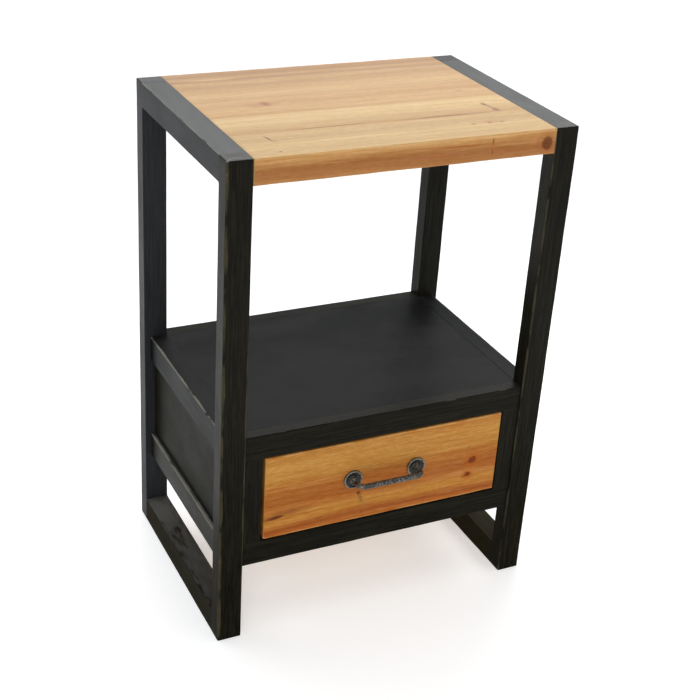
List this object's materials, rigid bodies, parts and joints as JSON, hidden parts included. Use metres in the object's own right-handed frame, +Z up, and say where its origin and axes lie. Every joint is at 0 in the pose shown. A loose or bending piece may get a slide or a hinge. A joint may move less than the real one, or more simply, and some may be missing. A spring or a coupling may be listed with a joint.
{
  "type": "side table with drawer",
  "caption": "Tall wooden side table: two closed post-and-rail side frames, a boarded pine top, an open shelf and a box below it with one inset drawer and a fixed iron pull.",
  "frame": {"origin": "on the floor, at the centre of the whole bounding box, which takes in the handle in front", "axes": "+Z up, +Y towards the back of the table, +X towards its right side as seen from the front; the drawer opens along -Y"},
  "size_m": [0.5, 0.375, 0.72],
  "materials": {
    "painted_wood": "black paint, brushed and satin, rubbed through to olive-brown along some edges",
    "top_boards": "light honey pine with small knots, matt wax",
    "drawer_front": "orange-brown pine with knots, satin",
    "drawer_box": "bare pine",
    "plywood": "sanded plywood",
    "inner_wood": "bare planed softwood",
    "dowels": "fluted beech, drawn smooth",
    "iron": "dark pewter-grey hammered iron",
    "screws": "zinc-plated"
  },
  "bodies": {
    "carcass": {"left_front_post": "painted_wood", "left_rear_post": "painted_wood", "right_front_post": "painted_wood", "right_rear_post": "painted_wood", "left_top_rail": "painted_wood", "right_top_rail": "painted_wood", "left_floor_rail": "painted_wood", "right_floor_rail": "painted_wood", "top_board_1": "top_boards", "top_board_2": "top_boards", "top_board_3": "top_boards", "top_board_4": "top_boards", "top_board_5": "top_boards", "top_board_6": "top_boards", "left_upper_side_rail": "painted_wood", "right_upper_side_rail": "painted_wood", "left_lower_side_rail": "painted_wood", "right_lower_side_rail": "painted_wood", "left_side_panel": "painted_wood", "right_side_panel": "painted_wood", "shelf_panel": "painted_wood", "front_upper_rail": "painted_wood", "front_lower_rail": "painted_wood", "front_left_stile": "painted_wood", "front_right_stile": "painted_wood", "back_upper_rail": "painted_wood", "back_lower_rail": "painted_wood", "back_panel": "painted_wood", "left_runner": "inner_wood", "right_runner": "inner_wood", "left_guide": "inner_wood", "right_guide": "inner_wood", "left_kicker": "inner_wood", "right_kicker": "inner_wood", "left_drawer_stop": "inner_wood", "right_drawer_stop": "inner_wood", "frame_dowels": "dowels", "side_rail_dowels": "dowels", "front_rail_dowels": "dowels", "back_rail_dowels": "dowels", "stile_dowels": "dowels", "board_end_dowels": "dowels", "board_edge_dowels": "dowels", "shelf_dowels": "dowels", "runner_screws": "screws", "kicker_screws": "screws", "guide_screws": "screws"},
    "drawer": {"drawer_front": "drawer_front", "left_drawer_side": "drawer_box", "right_drawer_side": "drawer_box", "drawer_back": "drawer_box", "drawer_bottom": "plywood", "drawer_catch": "inner_wood", "handle_bar": "iron", "left_rosette": "iron", "right_rosette": "iron", "drawer_dowels": "dowels", "bottom_screws": "screws", "catch_screws": "screws", "handle_screws": "screws"}
  },
  "joints": [
    {"name": "drawer_slide", "type": "slide", "parent": "carcass", "child": "drawer", "axis": [0, -1, 0], "range_m": [0, 0.26]}
  ]
}
